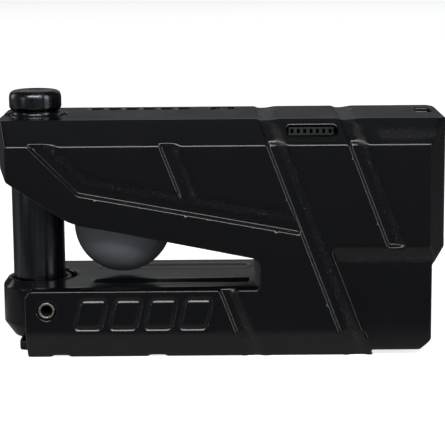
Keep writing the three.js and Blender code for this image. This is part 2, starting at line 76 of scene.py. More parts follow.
# ---- driving dimensions: from the frame where it has them ----
BODY_LOW, BODY_HIGH = box_mm("lock_body")
BOLT_LOW, BOLT_HIGH = box_mm("lock_bolt")
SOCKET_LOW, SOCKET_HIGH = box_mm("bolt_socket")
NOSE_LOW, NOSE_HIGH = box_mm("disc_nose")
LENS_LOW, LENS_HIGH = box_mm("status_lens")
SHELL_LOW, SHELL_HIGH = box_mm("key_cylinder_shell")
BAR_LOW, BAR_HIGH = box_mm("locking_bar")
PIN_LOW, PIN_HIGH = box_mm("socket_pin_front")

HALF_DEPTH = BODY_HIGH[1]
TOP = BODY_HIGH[2]
RIDGE = 55.0  # height where the sides turn in to the top bevels
TOP_HALF_DEPTH = 14.4
LOWER_RIDGE = 6.7  # height where the sides turn in to the foot
FOOT_HALF_DEPTH = 14.6
THROAT_FLOOR = 18.8
OVER_THROAT = 26.0  # a little over the throat's roof at its closed end
THROAT_WALL = 9.5
DATUM_X = BODY_HIGH[0] - 56.7  # the frame's x where the side view's own x is 0
BOLT_X = (BOLT_LOW[0] + BOLT_HIGH[0]) / 2
BOLT_RADIUS = (BOLT_HIGH[0] - BOLT_LOW[0]) / 2
BAR_MIDDLE = (BAR_LOW[2] + BAR_HIGH[2]) / 2
BOLT_TRAVEL = travel_mm("bolt_slide")
NOSE_X = (NOSE_LOW[0] + NOSE_HIGH[0]) / 2
NOSE_RADIUS = (NOSE_HIGH[0] - NOSE_LOW[0]) / 2
PIN_X = (PIN_LOW[0] + PIN_HIGH[0]) / 2
PIN_Z = (PIN_LOW[2] + PIN_HIGH[2]) / 2
PIN_RADIUS = (PIN_HIGH[0] - PIN_LOW[0]) / 2
RUNNING_GAP = 0.3


def link(name, data):
    """A new object in the scene, from its mesh, lamp or camera data."""
    thing = bpy.data.objects.new(name, data)
    bpy.context.scene.collection.objects.link(thing)
    return thing


# ---- the camera ----
CAMERA_DISTANCE = 450.0
CAMERA_ELEVATION = math.radians(10.4)
CAMERA_ROLL = math.radians(0.45)
CAMERA_TARGET = Vector((DATUM_X, 0, 32.2))
NEAREST_SEEN, FARTHEST_SEEN = 0.01, 20  # metres
SENSOR_WIDTH = 36.0
FOCAL_LENGTH = 138.9


def make_camera():
    data = bpy.data.cameras.new("camera")
    data.sensor_width = SENSOR_WIDTH
    data.lens = FOCAL_LENGTH
    data.clip_start = NEAREST_SEEN
    data.clip_end = FARTHEST_SEEN
    camera = link("camera", data)
    back = Vector((0, -math.cos(CAMERA_ELEVATION), math.sin(CAMERA_ELEVATION)))
    place = (CAMERA_TARGET + back * CAMERA_DISTANCE) * MM
    tilt = Matrix.Rotation(math.pi / 2 - CAMERA_ELEVATION, 4, "X")
    roll = Matrix.Rotation(-CAMERA_ROLL, 4, "Z")
    camera.matrix_world = Matrix.Translation(place) @ tilt @ roll
    bpy.context.scene.camera = camera


# ---- helpers for material nodes ----
def new_material(name):
    material = bpy.data.materials.new(name)
    material.use_nodes = True
    nodes = material.node_tree.nodes
    return material, nodes, material.node_tree.links, nodes["Principled BSDF"]


def object_place(nodes, links, scale=(1, 1, 1)):
    """The object's coordinates in metres, stretched by a scale on each axis."""
    place = nodes.new("ShaderNodeTexCoord")
    mapping = nodes.new("ShaderNodeMapping")
    mapping.inputs["Scale"].default_value = scale
    links.new(place.outputs["Object"], mapping.inputs["Vector"])
    return mapping.outputs["Vector"]


def noise(nodes, links, scale=1.0, detail=2.0, roughness=0.5, stretch=(1, 1, 1)):
    """Fine unevenness, with scale cells to the metre."""
    texture = nodes.new("ShaderNodeTexNoise")
    texture.inputs["Scale"].default_value = scale
    texture.inputs["Detail"].default_value = detail
    texture.inputs["Roughness"].default_value = roughness
    links.new(object_place(nodes, links, stretch), texture.inputs["Vector"])
    return texture.outputs["Fac"]


def remap(nodes, links, value, low, high, to_low=0.0, to_high=1.0):
    """Takes low..high of a value to to_low..to_high, and holds it there beyond."""
    node = nodes.new("ShaderNodeMapRange")
    node.inputs["From Min"].default_value = low
    node.inputs["From Max"].default_value = high
    node.inputs["To Min"].default_value = to_low
    node.inputs["To Max"].default_value = to_high
    links.new(value, node.inputs["Value"])
    return node.outputs["Result"]


def maths(nodes, links, operation, a, b=0.0):
    node = nodes.new("ShaderNodeMath")
    node.operation = operation
    for socket, value in zip(node.inputs, (a, b)):
        if isinstance(value, (int, float)):
            socket.default_value = value
        else:
            links.new(value, socket)
    return node.outputs["Value"]


def two_tones(nodes, links, factor, dark, light, shader):
    """A base colour that runs from dark to light with a factor."""
    node = nodes.new("ShaderNodeMix")
    node.data_type = "RGBA"
    colours = [s for s in node.inputs if s.type == "RGBA"]
    colours[0].default_value = (*dark, 1)
    colours[1].default_value = (*light, 1)
    links.new(factor, node.inputs["Factor"])
    output = next(s for s in node.outputs if s.type == "RGBA")
    links.new(output, shader.inputs["Base Color"])


def relief(nodes, links, height, strength, distance, shader):
    """Fine bumps, at most distance metres high."""
    node = nodes.new("ShaderNodeBump")
    node.inputs["Strength"].default_value = strength
    node.inputs["Distance"].default_value = distance
    links.new(height, node.inputs["Height"])
    links.new(node.outputs["Normal"], shader.inputs["Normal"])


# ---- materials ----
def body_paint():
    """Gloss black lacquer over a casting. The mesh's groove attribute marks where its finish is coarse, and
    where light grey specks are painted in as glints.
    """
    material, nodes, links, shader = new_material("body_paint")
    groove = nodes.new("ShaderNodeAttribute")
    groove.attribute_name = "groove"
    coarse = groove.outputs["Fac"]
    # The light grey speck colour is a painted glint: it stands in for the sparkle of the coarse finish.
    lacquer, glint_fleck = (0.0030, 0.0033, 0.0040), (0.055, 0.057, 0.062)
    smoothest, dullest, coarse_extra = 0.15, 0.23, 0.14
    ripple_share, pit_share = 0.5, 1.6
    grain = noise(nodes, links, scale=2300, roughness=0.6)
    painted_glints = maths(nodes, links, "MULTIPLY", remap(nodes, links, grain, low=0.58, high=0.72), coarse)
    cloud = noise(nodes, links, scale=70, detail=4.0, roughness=0.6)
    two_tones(nodes, links, painted_glints, lacquer, glint_fleck, shader)
    even = remap(nodes, links, cloud, low=0.3, high=0.7, to_low=smoothest, to_high=dullest)
    extra = maths(nodes, links, "MULTIPLY", coarse, coarse_extra)
    links.new(maths(nodes, links, "ADD", even, extra), shader.inputs["Roughness"])
    shader.inputs["Specular IOR Level"].default_value = 0.42
    ripple = maths(nodes, links, "MULTIPLY", noise(nodes, links, scale=380), ripple_share)
    pits = maths(nodes, links, "MULTIPLY", grain, maths(nodes, links, "MULTIPLY", coarse, pit_share))
    height = maths(nodes, links, "ADD", ripple, pits)
    relief(nodes, links, height, strength=0.16, distance=0.0001, shader=shader)
    return material


def bolt_steel():
    """Dark polished hardened steel, with faint lines along it and turning marks round it."""
    material, nodes, links, shader = new_material("bolt_steel")
    dark, light = (0.052, 0.054, 0.062), (0.090, 0.093, 0.104)
    rings = noise(nodes, links, stretch=(90, 90, 2200))
    lines = noise(nodes, links, detail=3.0, roughness=0.6, stretch=(900, 900, 25))
    two_tones(nodes, links, remap(nodes, links, lines, low=0.35, high=0.65), dark, light, shader)
    shader.inputs["Metallic"].default_value = 1.0
    polish = remap(nodes, links, lines, low=0.3, high=0.7, to_low=0.20, to_high=0.34)
    links.new(polish, shader.inputs["Roughness"])
    relief(nodes, links, rings, strength=0.05, distance=0.00005, shader=shader)
    return material


def metal(name, dark, light, smoothest, dullest, scale=700):
    """Bare metal: fine scratches, a slightly uneven tone and an uneven polish."""
    material, nodes, links, shader = new_material(name)
    grain = noise(nodes, links, scale, detail=4.0, roughness=0.6)
    two_tones(nodes, links, remap(nodes, links, grain, low=0.3, high=0.7), dark, light, shader)
    shader.inputs["Metallic"].default_value = 1.0
    polish = remap(nodes, links, grain, low=0.3, high=0.7, to_low=smoothest, to_high=dullest)
    links.new(polish, shader.inputs["Roughness"])
    relief(nodes, links, grain, strength=0.1, distance=0.00003, shader=shader)
    return material


def moulded(name, dark, light, rough, scale, depth, specular=0.5):
    """A moulded or coated surface: two close tones, an uneven polish and a fine grain in relief."""
    material, nodes, links, shader = new_material(name)
    unevenness = 0.05
    grain = noise(nodes, links, scale, detail=3.0, roughness=0.6)
    cloud = noise(nodes, links, scale / 18, detail=3.0)
    tone = remap(nodes, links, maths(nodes, links, "ADD", grain, cloud), low=0.7, high=1.3)
    two_tones(nodes, links, tone, dark, light, shader)
    polish = remap(nodes, links, cloud, 0.3, 0.7, rough - unevenness, rough + unevenness)
    links.new(polish, shader.inputs["Roughness"])
    shader.inputs["Specular IOR Level"].default_value = specular
    relief(nodes, links, grain, strength=0.25, distance=depth, shader=shader)
    return material


def make_materials():
    """Every material by its slot. A scale is grains to the metre, and a depth is in metres."""
    return {
        "body_paint": body_paint(),
        "polished_steel": bolt_steel(),
        "socket_steel": moulded(
            "socket_coat", dark=(0.004, 0.004, 0.005), light=(0.008, 0.008, 0.010),
            rough=0.20, scale=500, depth=0.00004, specular=0.25,
        ),
        "pin_steel": metal(
            "pin_steel", dark=(0.30, 0.28, 0.26), light=(0.50, 0.48, 0.45), smoothest=0.25, dullest=0.40,
        ),
        "plain_steel": metal(
            "plain_steel", dark=(0.34, 0.34, 0.35), light=(0.52, 0.52, 0.53), smoothest=0.28, dullest=0.42,
        ),
        "brass": metal(
            "brass", dark=(0.40, 0.27, 0.09), light=(0.60, 0.42, 0.16),
            smoothest=0.22, dullest=0.36, scale=900,
        ),
        "grey_rubber": moulded(
            "grey_rubber", dark=(0.094, 0.101, 0.116), light=(0.112, 0.120, 0.136),
            rough=0.62, scale=1500, depth=0.00002, specular=0.35,
        ),
        "black_rubber": moulded(
            "black_rubber", dark=(0.008, 0.008, 0.008), light=(0.014, 0.014, 0.014),
            rough=0.75, scale=1200, depth=0.00005,
        ),
        "black_plastic": moulded(
            "black_plastic", dark=(0.010, 0.010, 0.011), light=(0.020, 0.020, 0.021),
            rough=0.48, scale=1800, depth=0.00004,
        ),
        "smoked_lens": moulded(
            "smoked_lens", dark=(0.008, 0.003, 0.003), light=(0.014, 0.004, 0.004),
            rough=0.12, scale=60, depth=0.00001,
        ),
        "circuit_board": moulded(
            "solder_mask", dark=(0.006, 0.055, 0.020), light=(0.012, 0.095, 0.036),
            rough=0.40, scale=900, depth=0.00002,
        ),
        "battery_wrap": moulded(
            "battery_wrap", dark=(0.030, 0.055, 0.105), light=(0.040, 0.070, 0.125),
            rough=0.28, scale=300, depth=0.00002,
        ),
    }


MATERIALS = make_materials()


# ---- meshes ----
def add_piece(name, points, faces, slot, body, node):
    """A new smooth piece from points in millimetres, riding on a CAD body in place of a CAD node."""
    mesh = bpy.data.meshes.new(name)
    mesh.from_pydata([tuple(p) for p in np.asarray(points) * MM], [], [tuple(f) for f in faces])
    mesh.polygons.foreach_set("use_smooth", [True] * len(mesh.polygons))
    mesh.materials.append(MATERIALS[slot])
    piece = link(name, mesh)
    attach(piece, body)
    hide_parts(node)
    return piece


def rounded(profile, radius, steps=4, closed=False):
    """An outline with each corner replaced by a small curve; the ends of an open one stay."""
    points = [np.array(p, float) for p in profile]
    if closed:
        points = [points[-1], *points, points[0]]
    out = [] if closed else [points[0]]
    for before, corner, after in zip(points, points[1:], points[2:]):
        back, ahead = before - corner, after - corner
        lengths = np.linalg.norm(back), np.linalg.norm(ahead)
        reach = min(radius, 0.45 * min(lengths))  # so that the curves of a short side stay apart
        start = corner + back / lengths[0] * reach
        end = corner + ahead / lengths[1] * reach
        for t in np.linspace(0, 1, steps + 1):
            out.append((1 - t) ** 2 * start + 2 * t * (1 - t) * corner + t * t * end)
    return [*out, out[0]] if closed else [*out, points[-1]]


# Which way each turned piece points: its own radius-and-height frame laid along an axis of the lock.
AXES = {
    "z": np.array([[1, 0, 0], [0, 1, 0], [0, 0, 1]]),
    "y": np.array([[1, 0, 0], [0, 0, 1], [0, -1, 0]]),
}
NOTHING = 1e-6


def revolve(profile, centre, axis="z", segments=128):
    """A closed solid: an outline of (radius, height) turned about an axis. An end at radius 0 closes up."""
    angles = np.linspace(0, 2 * np.pi, segments, endpoint=False)
    points, rings = [], []
    for radius, height in profile:
        if radius < NOTHING:
            rings.append([len(points)] * segments)
            points.append((0, 0, height))
        else:
            rings.append(list(range(len(points), len(points) + segments)))
            points.extend((radius * math.cos(a), radius * math.sin(a), height) for a in angles)
    faces = []
    for low, high in zip(rings, rings[1:]):
        for i in range(segments):
            j = (i + 1) % segments
            corners = dict.fromkeys([low[i], low[j], high[j], high[i]])
            faces.append(tuple(corners))
    return np.array(points) @ AXES[axis] + np.array(centre), faces


def clean(piece):
    """Joins the points that share a place and turns every face outwards."""
    form = bmesh.new()
    form.from_mesh(piece.data)
    bmesh.ops.remove_doubles(form, verts=form.verts, dist=NOTHING)
    bmesh.ops.recalc_face_normals(form, faces=form.faces)
    form.to_mesh(piece.data)
    form.free()


def turned_piece(name, profile, centre, slot, body, node, rounding, axis="z", closed=False):
    """A piece turned on a lathe: its outline, with the corners rounded, swept about an axis."""
    outline = rounded(profile, rounding, closed=closed)
    points, faces = revolve(outline, centre, axis)
    piece = add_piece(name, points, faces, slot, body, node)
    clean(piece)
    return piece


def box_between(low, high):
    form = bmesh.new()
    bmesh.ops.create_cube(form, size=1)
    middle = (np.array(low) + np.array(high)) / 2 * MM
    size = (np.array(high) - np.array(low)) * MM
    form.transform(Matrix.Translation(Vector(middle)) @ Matrix.Diagonal((*size, 1)))
    mesh = bpy.data.meshes.new("cutter")
    form.to_mesh(mesh)
    form.free()
    return link("cutter", mesh)


def cut_box(piece, low, high):
    """Cuts a box out of a piece, applied to its mesh."""
    cutter = box_between(low, high)
    modifier = piece.modifiers.new("cut", "BOOLEAN")
    modifier.object = cutter
    modifier.operation = "DIFFERENCE"
    modifier.solver = "EXACT"
    depsgraph = bpy.context.evaluated_depsgraph_get()
    made = bpy.data.meshes.new_from_object(piece.evaluated_get(depsgraph))
    uncut, cutter_mesh = piece.data, cutter.data
    piece.modifiers.clear()
    piece.data = made
    bpy.data.objects.remove(cutter)
    bpy.data.meshes.remove(uncut)
    bpy.data.meshes.remove(cutter_mesh)


def soften_edges(piece, width, angle=35):
    """A small bevel on every edge sharper than an angle, with the flat faces kept flat."""
    modifier = piece.modifiers.new("bevel", "BEVEL")
    modifier.width = width * MM
    modifier.segments = 2
    modifier.limit_method = "ANGLE"
    modifier.angle_limit = math.radians(angle)
    modifier.harden_normals = True


# ---- the cast body: its CAD solid as a field of distances, with the fine shape worked in ----
VOXEL = 0.26
BAND = 7  # cells on each side of the surface that hold a distance
SOFTENING = 1.0  # cells; it rounds the casting's edges
ADAPTIVITY = 0.02  # how far flat stretches are thinned out
INNER_SIDE = 8  # the sides, with their grooves and marks, are further than this from the middle
OUTER_SIDE = 14
SKIN = 1.7  # thickness of the solid metal laid behind the grooves
CUT_REACH = 2.5  # deeper than this under the hull, nothing is cut
GROOVE_DEPTH = 0.9
GROOVE_WALL = 0.25  # width of a groove's steep wall
GROOVE_RISE = 0.85  # share of the depth that the far half climbs back
BEVEL_SHARE = 0.45  # how deep the grooves are on the bevels and the top, against the sides
GROOVE_LEAN = 0.38
PAST_RIDGE = RIDGE + 0.3
ABOVE, BELOW = TOP + 5, -5  # clear of the body, for grooves that run right over an edge
LONG_GROOVE_START = (-49.4, 56.0)
LONG_GROOVE_CORNER = (-36.3, 42.8)
LONG_GROOVE_END = (19.6, 32.5)
LONG_GROOVE_CAP = (17.6, 37.6)  # with the end, the line that closes the groove
LONG_GROOVE_WIDTH = 4.9
ENGRAVING = 0.5
SOFT = 0.2  # half the width over which a mark's edge drops


def read_field(node):
    """The signed distances to a CAD node, outside positive.

    Returns the values, the lowest cell, and the x, y and z of the cells, which broadcast together.
    """
    mesh = NODES[node].data
    points = np.zeros(len(mesh.vertices) * 3, np.float32)
    mesh.vertices.foreach_get("co", points)
    mesh.calc_loop_triangles()
    corners = np.zeros(len(mesh.loop_triangles) * 3, np.int32)
    mesh.loop_triangles.foreach_get("vertices", corners)
    grid = vdb.FloatGrid.createLevelSetFromPolygons(
        points.reshape(-1, 3) / np.float32(MM),
        triangles=corners.reshape(-1, 3).astype(np.uint32),
        transform=vdb.createLinearTransform(voxelSize=VOXEL),
        halfWidth=BAND,
    )
    low, high = grid.evalActiveVoxelBoundingBox()
    values = np.zeros([b - a + 1 for a, b in zip(low, high)], np.float32)
    grid.copyToArray(values, ijk=low)
    axes = [np.arange(a, b + 1, dtype=np.float32) * VOXEL for a, b in zip(low, high)]
    return values, low, np.meshgrid(*axes, indexing="ij", sparse=True)


def blur(values, sigma):
    """A Gaussian blur, which leaves flat faces where they are and gives every edge a small radius."""
    reach = math.ceil(3 * sigma)
    weights = np.exp(-0.5 * (np.arange(-reach, reach + 1) / sigma) ** 2).astype(np.float32)
    weights /= weights.sum()
    for axis in range(3):
        margins = [(reach, reach) if a == axis else (0, 0) for a in range(3)]
        padded = np.pad(values, margins, mode="edge")
        total = np.zeros_like(values)
        for i, weight in enumerate(weights):
            window = [slice(None)] * 3
            window[axis] = slice(i, i + values.shape[axis])
            total += weight * padded[tuple(window)]
        values = total
    return values


def section_hull(y, z):
    """How far a point lies outside the body's eight-sided long section."""
    y = np.abs(y)
    bevel_y, bevel_z = HALF_DEPTH - TOP_HALF_DEPTH, TOP - RIDGE
    foot_y, foot_z = HALF_DEPTH - FOOT_HALF_DEPTH, LOWER_RIDGE
    upper = ((y - HALF_DEPTH) * bevel_z + (z - RIDGE) * bevel_y) / math.hypot(bevel_y, bevel_z)
    lower = ((y - HALF_DEPTH) * foot_z - (z - LOWER_RIDGE) * foot_y) / math.hypot(foot_y, foot_z)
    side, roof = y - HALF_DEPTH + 0 * z, z - TOP + 0 * y  # the zeros give all four one shape
    return np.maximum.reduce([side, upper, lower, roof])


def beside(x, z, a, b):
    """Signed distance from the line through a and b in the side view, positive on its left."""
    dx, dz = b[0] - a[0], b[1] - a[1]
    return (dx * (z - a[1]) - dz * (x - a[0])) / math.hypot(dx, dz)


def ramp(value, start, end):
    """0 up to start, 1 from end on, and straight between."""
    return np.clip((value - start) / (end - start), 0, 1)


def groove_shape(across, width, inside):
    """A groove's depth over its width: one steep wall, a floor, and a long gentle rise to the far edge."""
    depth = ramp(across, 0, GROOVE_WALL) * (1 - GROOVE_RISE * ramp(across, 0.5 * width, width))
    return GROOVE_DEPTH * depth * (inside & (across < width + SOFT))


def leaning_groove(x, z, start, height, width, top, bottom):
    """A slanted groove between two heights, whose left wall passes through x = start at a height."""
    slope = math.cos(math.atan(GROOVE_LEAN))
    across = (x - start - (height - z) * GROOVE_LEAN) * slope
    return groove_shape(across, width * slope, (z < top) & (z > bottom))


def long_groove(x, z):
    """The groove that runs down from the left ridge and then along the arm."""
    first = beside(x, z, LONG_GROOVE_START, LONG_GROOVE_CORNER)
    second = beside(x, z, LONG_GROOVE_CORNER, LONG_GROOVE_END)
    end = beside(x, z, LONG_GROOVE_CAP, LONG_GROOVE_END)
    return groove_shape(np.minimum(first, second), LONG_GROOVE_WIDTH, (z < PAST_RIDGE) & (end < 0))


def joining_groove(x, z):
    """The short groove that runs down from the ridge and ends in the long one."""
    above = beside(x, z, LONG_GROOVE_CORNER, LONG_GROOVE_END) > GROOVE_WALL
    groove = leaning_groove(x, z, start=-15.6, height=RIDGE, width=4.8, top=PAST_RIDGE, bottom=35)
    return groove * above


def groove_depths(x, z):
    """Depth of the grooves in the sides, and of the two that also run over the bevels and the top."""
    tall = leaning_groove(x, z, start=11.3, height=RIDGE, width=4.9, top=ABOVE, bottom=BELOW)
    right = leaning_groove(x, z, start=31.8, height=RIDGE, width=4.6, top=ABOVE, bottom=29.2)
    base = leaning_groove(x, z, start=-0.8, height=18.0, width=4.3, top=THROAT_FLOOR + 1, bottom=BELOW)
    wrapping = np.maximum(tall, right)
    side = np.maximum.reduce([long_groove(x, z), joining_groove(x, z), base, wrapping])
    return side, wrapping


def depth_share(z):
    """The share of their depth that the grooves have at a height: less on the bevels and the top."""
    past = np.maximum(ramp(z, RIDGE, RIDGE + 1), ramp(LOWER_RIDGE - z, 0, 1))
    return 1 - (1 - BEVEL_SHARE) * past


def lozenge(u, v, half_width, half_height, lean, corner):
    """Signed distance, in the plane, to a slanted lozenge with round corners."""
    across = np.abs((u - lean * v) * math.cos(math.atan(lean))) - half_width + corner
    up = np.abs(v) - half_height + corner
    outside = np.hypot(np.maximum(across, 0), np.maximum(up, 0))
    return outside + np.minimum(np.maximum(across, up), 0) - corner


def side_marks(x, z):
    """Depth of the four slanted lozenge outlines in the base."""
    first, pitch, height, half_stroke = -33.6, 8.9, 12.1, 0.28
    depth = 0 * (x + z)
    for i in range(4):
        u, v = x - first - pitch * i, z - height
        edge = lozenge(u, v, half_width=3.3, half_height=3.7, lean=0.22, corner=1.0)
        depth = np.maximum(depth, ENGRAVING * ramp(half_stroke - np.abs(edge), -SOFT, SOFT))
    return depth


def top_marks(x, y):
    """Depth of the row of plain bars along the top."""
    first, pitch, back = -33.2, 4.6, 10.2
    depth = 0 * (x + y)
    for i in range(6):
        u, v = x - first - pitch * i, y - back
        edge = lozenge(u, v, half_width=1.6, half_height=1.5, lean=0.3, corner=0.3)
        depth = np.maximum(depth, ENGRAVING * ramp(-edge, -SOFT, SOFT))
    return depth


def shape_body(values, x, y, z):
    """Works the grooves' true section and the engraved marks into the body's distances."""
    x = x - DATUM_X
    hull = section_hull(y, z)
    side, wrapping = (depth * depth_share(z) for depth in groove_depths(x, z))
    marks = side_marks(x, z)
    on_side = np.abs(y) > INNER_SIDE
    in_throat = (x < THROAT_WALL) & (z > THROAT_FLOOR - 1) & (z < OVER_THROAT)
    spread, trace = 2.0, 0.02
    near_groove = (blur((side > 0).astype(np.float32), spread) > trace) & ~in_throat
    skin = np.maximum(hull, -SKIN - hull)
    fill = np.where(near_groove & on_side, skin, np.float32(BAND * VOXEL))
    values = np.minimum(values, fill.astype(np.float32))
    depth = np.where(on_side & (z < RIDGE + 1), np.maximum(side, marks), wrapping)
    depth = np.maximum(depth, np.where(z > TOP - 2, top_marks(x, y), 0))
    cut_by = (hull + depth).astype(np.float32)
    return np.where((depth > 0) & (hull > -CUT_REACH), np.maximum(values, cut_by), values)


def speckled_band(x, y, z, height, left):
    """A band of coarse paint with painted glint specks along both sides at a height, from x = left to the
    right end.
    """
    fade, half_height = 1.2, 1.6
    return 0.9 * ramp(half_height - np.abs(z - height), 0, fade) * (x > left) * (np.abs(y) > OUTER_SIDE)


def coarse_places(points):
    """Where the paint is coarse and strewn with painted glint specks, from 0 to 1 at each point: grooves,
    marks and two bands at the right.
    """
    x, y, z = points.T
    x = x - DATUM_X
    side, wrapping = groove_depths(x, z)
    near_skin = section_hull(y, z) > -1.3
    on_slope = ramp(side, 0.1, 0.3) * (1 - ramp(side, 0.84, 0.89))
    on_top = ramp(wrapping, 0.3, 0.6) * 0.8
    marked = ramp(side_marks(x, z), 0.1, 0.4) * (np.abs(y) > OUTER_SIDE) * 0.5
    groove = np.maximum(np.where(z < TOP - 1, on_slope, on_top), marked) * near_skin
    step = speckled_band(x, y, z, height=25.6, left=29)
    bevel = speckled_band(x, y, z, height=57.6, left=40)
    return np.maximum.reduce([groove, step, bevel])


def gradient_at(values, low, points):
    """The field's own slope at each point, which is the true surface normal there."""
    reach = 0.7  # cells
    cells = points / VOXEL - np.array(low)
    slopes = np.zeros_like(points)
    for axis in range(3):
        shift = np.zeros(3)
        shift[axis] = reach
        slopes[:, axis] = sample(values, cells + shift) - sample(values, cells - shift)
    return slopes / np.maximum(np.linalg.norm(slopes, axis=1, keepdims=True), NOTHING)


def sample(values, cells):
    """The field between its cells, by linear blending."""
    last_start = np.array(values.shape) - 1.001  # each point needs a further cell beyond its own
    cells = np.clip(cells, 0, last_start)
    base = cells.astype(int)
    part = cells - base
    total = np.zeros(len(cells))
    for corner in range(8):
        offset = np.array([corner & 1, corner >> 1 & 1, corner >> 2 & 1])
        weight = np.prod(np.where(offset, part, 1 - part), axis=1)
        i, j, k = (base + offset).T
        total += weight * values[i, j, k]
    return total


def cast_body():
    """The body as one skin, in place of its CAD node."""
    values, low, (x, y, z) = read_field("lock_body")
    values = blur(shape_body(values, x, y, z), SOFTENING)
    limit = float(BAND * VOXEL)
    grid = vdb.FloatGrid(limit)
    grid.copyFromArray(np.clip(values, -limit, limit), ijk=low)
    grid.transform = vdb.createLinearTransform(voxelSize=VOXEL)
    points, triangles, quads = grid.convertToPolygons(isovalue=0.0, adaptivity=ADAPTIVITY)
    points = np.clip(points, BODY_LOW, BODY_HIGH)
    faces = [*triangles.tolist(), *quads.tolist()]
    piece = add_piece("body_casting", points, faces, "body_paint", "housing", "lock_body")
    mesh = piece.data
    coarse = mesh.attributes.new("groove", "FLOAT", "POINT")
    coarse.data.foreach_set("value", coarse_places(points).astype(np.float32))
    mesh.normals_split_custom_set_from_vertices(gradient_at(values, low, points))


# ---- the bolt and what it closes on ----
NECK_RADIUS = 6.1
NECK_HEIGHTS = (-0.2, 0.3, 1.2, 1.8)  # over the body's top: its slope in, and its slope out
HEAD_RIM = ((0, 1.5), (0.35, 0.5), (1.4, 0), (2.2, 0.25), (3.4, 0.5))  # in from the side, down from the top
HEAD_DISH = 0.55
LOCK_GROOVE_RADIUS = 4.4
LOCK_GROOVE_HALF = 2.3
TIP_CHAMFER = 1.2
DRAIN_RADIUS = 2.4
BOSS_CONE = (2.7, 3.8)  # inwards and upwards
BOSS_SHOULDER = 1.9
PIN_BORE = 1.5
PIN_SLIT = (0.3, 1.0)  # above the pin's middle


def lock_bolt():
    """The bolt, with a groove for the bar where it is shut and one where it is raised."""
    r, top, tip = BOLT_RADIUS, BOLT_HIGH[2], BOLT_LOW[2]
    profile = [(0, tip), (r - TIP_CHAMFER, tip), (r, tip + TIP_CHAMFER)]
    for middle in (BAR_MIDDLE - BOLT_TRAVEL, BAR_MIDDLE):
        low, high = middle - LOCK_GROOVE_HALF, middle + LOCK_GROOVE_HALF
        profile += [(r, low), (LOCK_GROOVE_RADIUS, low), (LOCK_GROOVE_RADIUS, high), (r, high)]
    radii = (r, NECK_RADIUS, NECK_RADIUS, r)
    profile += [(radius, TOP + height) for radius, height in zip(radii, NECK_HEIGHTS)]
    profile += [(r - inwards, top - down) for inwards, down in HEAD_RIM]
    profile += [(0, top - HEAD_DISH)]
    turned_piece("bolt_shaft", profile, (BOLT_X, 0, 0), "polished_steel", "bolt", "lock_bolt", 0.5)


def bolt_socket():
    """The boss under the bolt: a cup with a drain hole, and a cone outside its foot."""
    outer = (SOCKET_HIGH[0] - SOCKET_LOW[0]) / 2
    low, top = SOCKET_LOW[2], SOCKET_HIGH[2]
    bore, seat = BOLT_RADIUS + RUNNING_GAP, BOLT_LOW[2] - RUNNING_GAP
    inwards, upwards = BOSS_CONE
    profile = [
        (DRAIN_RADIUS, low), (outer - inwards, low), (outer, low + upwards), (outer, top - BOSS_SHOULDER),
        (bore + 1.1, top), (bore + 0.5, top), (bore, top - 0.5), (bore, seat), (DRAIN_RADIUS, seat),
    ]
    place = (BOLT_X, 0, 0)
    turned_piece("socket_boss", profile, place, "socket_steel", "housing", "bolt_socket", 0.4, closed=True)


def bolt_guides():
    """The bush and the wiper round the bolt, each with a chamfered lip at the top of its bore."""
    for name, node, slot, lip in (
        ("guide_bush", "bolt_bush", "brass", 0.2),
        ("wiper_ring", "bolt_wiper_seal", "black_rubber", 0.45),
    ):
        low, high = box_mm(node)
        outer, inner = (high[0] - low[0]) / 2, BOLT_RADIUS + RUNNING_GAP
        profile = [
            (inner, low[2]), (outer, low[2]), (outer, high[2]),
            (inner + lip, high[2]), (inner, high[2] - lip),
        ]
        turned_piece(name, profile, (BOLT_X, 0, 0), slot, "housing", node, 0.12, closed=True)


def socket_pins():
    """The rolled pins that hold the boss from the front and the rear, each with the slit of its tube."""
    place = (PIN_X, 0, PIN_Z)
    slit_low, slit_high = PIN_SLIT
    past = 1
    for node in ("socket_pin_front", "socket_pin_rear"):
        low, high = (corner[1] for corner in box_mm(node))
        profile = [(PIN_BORE, low), (PIN_BORE, high), (PIN_RADIUS, high), (PIN_RADIUS, low)]
        piece = turned_piece(f"roll_{node}", profile, place, "pin_steel", "housing", node, 0.2, "y", True)
        slit_end = PIN_X + PIN_RADIUS + past
        cut_box(piece, (PIN_X, low - past, PIN_Z + slit_low), (slit_end, high + past, PIN_Z + slit_high))


# ---- the sprung nose ----
NOSE_WELL_RADIUS = 9
NOSE_WELL_FLOOR = 27
SPRING_WIRE = 0.5  # the wire's radius
SPRING_TURNS = 4


def disc_nose():
    """A rubber dome, hollow from above for its core."""
    low, high = NOSE_LOW[2], NOSE_HIGH[2]
    middle = low + NOSE_RADIUS
    profile = [(0, low)]
    for angle in np.linspace(0, np.pi / 2, 25)[1:]:
        profile.append((NOSE_RADIUS * math.sin(angle), middle - NOSE_RADIUS * math.cos(angle)))
    profile += [(NOSE_RADIUS, high), (NOSE_WELL_RADIUS, high), (NOSE_WELL_RADIUS, NOSE_WELL_FLOOR)]
    profile += [(0, NOSE_WELL_FLOOR)]
    turned_piece("rubber_nose", profile, (NOSE_X, 0, 0), "grey_rubber", "nose", "disc_nose", 0.15)


def coil(low, high, radius, wire, turns, steps=40, sides=12):
    """A round wire wound up the z axis, closed at both ends, as points and faces."""
    count = round(turns * steps) + 1
    rise = (high - low - 2 * wire) / (count - 1)
    points, faces = [], []
    for i in range(count):
        turn = 2 * math.pi * i / steps
        for side in range(sides):
            angle = 2 * math.pi * side / sides
            reach = radius + wire * math.cos(angle)
            height = low + wire + i * rise + wire * math.sin(angle)
            points.append((reach * math.cos(turn), reach * math.sin(turn), height))
    for i in range(count - 1):
        here, ahead = i * sides, (i + 1) * sides
        for side in range(sides):
            after = (side + 1) % sides
            faces.append((here + side, here + after, ahead + after, ahead + side))
    faces.append(tuple(range(sides)))
    faces.append(tuple(range((count - 1) * sides, count * sides)))
    return np.array(points), faces


